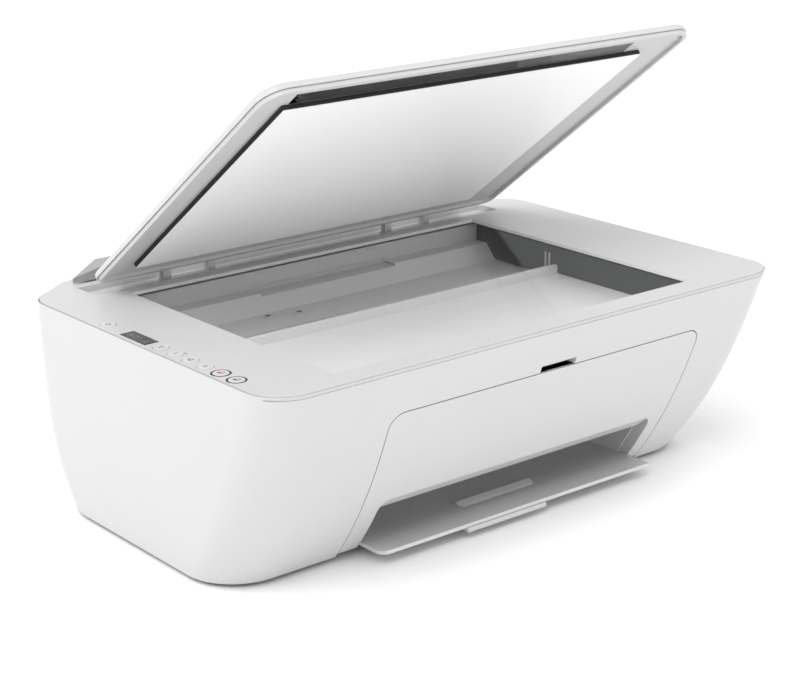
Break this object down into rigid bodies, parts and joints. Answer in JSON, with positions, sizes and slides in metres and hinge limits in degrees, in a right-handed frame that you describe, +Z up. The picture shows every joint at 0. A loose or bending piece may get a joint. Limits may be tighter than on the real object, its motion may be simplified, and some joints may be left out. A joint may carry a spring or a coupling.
{
  "type": "inkjet printer",
  "caption": "compact flatbed scanner and inkjet printer, white body, lid standing open on rear hinges, front door with a low paper exit and grey tray, control strip on the left",
  "frame": {"origin": "centre of the footprint of the housing with its rear sheet support, on the surface that the feet stand on", "axes": "+X to the right seen from the front, +Y to the back, +Z up; the lid hinge runs along X"},
  "size_m": [0.425, 0.3037, 0.3103],
  "materials": {
    "white_shell": "satin white moulded plastic",
    "white_gloss": "smooth white moulded plastic",
    "white_inner": "plain white moulded plastic",
    "button_white": "satin white button caps",
    "glass": "clear polished flat glass",
    "lid_pad": "black foam",
    "lid_backing": "smooth white backing sheet",
    "display": "dark glossy display window",
    "dark_trim": "dark grey moulded plastic",
    "cartridge": "black cartridge shells",
    "tray_grey": "mid-grey moulded plastic",
    "board": "green circuit board",
    "steel": "bare steel",
    "rubber": "black rubber",
    "film": "thin clear film",
    "brass": "machined brass",
    "supply": "black moulded case"
  },
  "bodies": {
    "housing": {"base_pan": "dark_trim", "outer_shell": "white_shell", "rear_cover": "white_shell", "scanner_tub": "white_inner", "scan_bezel": "white_shell", "scanner_glass": "glass", "hinge_bracket_left": "tray_grey", "hinge_bracket_right": "tray_grey", "display_window": "display", "panel_board": "board", "copy_button_rings": "dark_trim", "output_tray": "tray_grey", "print_chassis": "steel", "carriage_rod": "steel", "encoder_strip": "film", "carriage_motor": "steel", "carriage_belt": "rubber", "platen": "dark_trim", "feed_motor": "steel", "service_station": "dark_trim", "main_board": "board", "power_supply": "supply", "power_inlet": "dark_trim", "usb_port": "steel", "feet": "rubber", "case_screws": "steel", "scan_ribbon": "film"},
    "lid": {"lid_shell": "white_shell", "lid_frame": "white_inner", "lid_foam": "lid_pad", "lid_sheet": "lid_backing"},
    "power_key": {"power_button": "button_white"},
    "wireless_key": {"wireless_button": "button_white"},
    "info_key": {"info_button": "button_white"},
    "resume_key": {"resume_button": "button_white"},
    "cancel_key": {"cancel_button": "button_white"},
    "color_copy_key": {"color_copy_button": "button_white"},
    "black_copy_key": {"black_copy_button": "button_white"},
    "front_door": {"ink_door": "white_gloss"},
    "extender": {"tray_extender": "white_inner"},
    "sheet_support": {"rear_tray": "white_gloss"},
    "support_extension": {"rear_tray_extension": "tray_grey"},
    "side_guide": {"width_guide": "tray_grey"},
    "scan_unit": {"scan_bar": "dark_trim", "scan_bar_window": "glass", "scan_carrier": "tray_grey", "scan_motor": "steel"},
    "scan_drive_gear": {"scan_pinion": "white_inner"},
    "print_unit": {"print_carriage": "dark_trim", "color_cartridge": "cartridge", "black_cartridge": "cartridge"},
    "belt_drive_wheel": {"drive_pulley": "white_inner"},
    "belt_idler_wheel": {"idler_pulley": "white_inner"},
    "feed_shaft": {"feed_roller": "rubber", "feed_gear": "white_inner"},
    "feed_idler": {"idler_gear": "white_inner"},
    "output_shaft": {"output_roller": "rubber"},
    "star_shaft": {"star_wheels": "steel"},
    "feed_pinion": {"motor_pinion": "brass"},
    "pick_shaft": {"pick_roller": "rubber"}
  },
  "joints": [
    {"name": "lid_hinge", "type": "hinge", "parent": "housing", "child": "lid", "pos_m": [0, 0.1106, 0.152], "axis": [-1, 0, 0], "range_deg": [-36.9, 43]},
    {"name": "power_press", "type": "slide", "parent": "housing", "child": "power_key", "axis": [0, 0, -1], "range_m": [0, 0.0008], "stiffness_N_per_m": 800, "springref_m": -0.0004},
    {"name": "wireless_press", "type": "slide", "parent": "housing", "child": "wireless_key", "axis": [0, 0, -1], "range_m": [0, 0.0008], "stiffness_N_per_m": 800, "springref_m": -0.0004},
    {"name": "info_press", "type": "slide", "parent": "housing", "child": "info_key", "axis": [0, 0, -1], "range_m": [0, 0.0008], "stiffness_N_per_m": 800, "springref_m": -0.0004},
    {"name": "resume_press", "type": "slide", "parent": "housing", "child": "resume_key", "axis": [0, 0, -1], "range_m": [0, 0.0008], "stiffness_N_per_m": 800, "springref_m": -0.0004},
    {"name": "cancel_press", "type": "slide", "parent": "housing", "child": "cancel_key", "axis": [0, 0, -1], "range_m": [0, 0.0008], "stiffness_N_per_m": 800, "springref_m": -0.0004},
    {"name": "color_copy_press", "type": "slide", "parent": "housing", "child": "color_copy_key", "axis": [0, 0, -1], "range_m": [0, 0.0008], "stiffness_N_per_m": 800, "springref_m": -0.0004},
    {"name": "black_copy_press", "type": "slide", "parent": "housing", "child": "black_copy_key", "axis": [0, 0, -1], "range_m": [0, 0.0008], "stiffness_N_per_m": 800, "springref_m": -0.0004},
    {"name": "door_hinge", "type": "hinge", "parent": "housing", "child": "front_door", "pos_m": [0, -0.07549, 0.011], "axis": [1, 0, 0], "range_deg": [0, 38]},
    {"name": "extender_slide", "type": "slide", "parent": "housing", "child": "extender", "axis": [0, -1, 0], "range_m": [0, 0.09]},
    {"name": "rear_tray_hinge", "type": "hinge", "parent": "housing", "child": "sheet_support", "pos_m": [0, 0.1488, 0.046], "axis": [-1, 0, 0], "range_deg": [0, 25]},
    {"name": "rear_extension_slide", "type": "slide", "parent": "sheet_support", "child": "support_extension", "axis": [0, 0, 1], "range_m": [0, 0.06]},
    {"name": "width_guide_slide", "type": "slide", "parent": "sheet_support", "child": "side_guide", "axis": [-1, 0, 0], "range_m": [0, 0.1]},
    {"name": "scan_slide", "type": "slide", "parent": "housing", "child": "scan_unit", "axis": [1, 0, 0], "range_m": [0, 0.3], "deforming": ["scan_ribbon"]},
    {"name": "scan_pinion_spin", "type": "hinge", "parent": "scan_unit", "child": "scan_drive_gear", "pos_m": [-0.1635, 0.009, 0.125], "axis": [0, 0, 1], "range_deg": [-3600, 3600]},
    {"name": "carriage_slide", "type": "slide", "parent": "housing", "child": "print_unit", "axis": [-1, 0, 0], "range_m": [0, 0.28]},
    {"name": "drive_pulley_spin", "type": "hinge", "parent": "housing", "child": "belt_drive_wheel", "pos_m": [-0.14, 0.043, 0.1], "axis": [0, 1, 0], "range_deg": [-3000, 3000]},
    {"name": "idler_pulley_spin", "type": "hinge", "parent": "housing", "child": "belt_idler_wheel", "pos_m": [0.1925, 0.043, 0.1], "axis": [0, 1, 0], "range_deg": [-3000, 3000]},
    {"name": "feed_roller_spin", "type": "hinge", "parent": "housing", "child": "feed_shaft", "pos_m": [0, 0.01, 0.043], "axis": [1, 0, 0], "continuous": true},
    {"name": "idler_gear_spin", "type": "hinge", "parent": "housing", "child": "feed_idler", "pos_m": [-0.1555, -0.025, 0.043], "axis": [1, 0, 0], "continuous": true},
    {"name": "output_roller_spin", "type": "hinge", "parent": "housing", "child": "output_shaft", "pos_m": [0, -0.06, 0.043], "axis": [1, 0, 0], "continuous": true},
    {"name": "star_wheels_spin", "type": "hinge", "parent": "housing", "child": "star_shaft", "pos_m": [0, -0.06, 0.0533], "axis": [1, 0, 0], "continuous": true},
    {"name": "motor_pinion_spin", "type": "hinge", "parent": "housing", "child": "feed_pinion", "pos_m": [-0.1555, 0.02347, 0.03106], "axis": [1, 0, 0], "continuous": true},
    {"name": "pick_roller_spin", "type": "hinge", "parent": "housing", "child": "pick_shaft", "pos_m": [0, 0.112, 0.0545], "axis": [1, 0, 0], "continuous": true}
  ],
  "couplings": [
    {"joint": "scan_pinion_spin", "follows": "scan_slide", "rad_per_m": -200},
    {"joint": "drive_pulley_spin", "follows": "carriage_slide", "rad_per_m": 167.79},
    {"joint": "idler_pulley_spin", "follows": "carriage_slide", "rad_per_m": 167.79},
    {"joint": "idler_gear_spin", "follows": "feed_roller_spin", "ratio": -0.59091},
    {"joint": "output_roller_spin", "follows": "feed_roller_spin", "ratio": 1},
    {"joint": "star_wheels_spin", "follows": "feed_roller_spin", "ratio": -1},
    {"joint": "motor_pinion_spin", "follows": "feed_roller_spin", "ratio": -2.6}
  ]
}
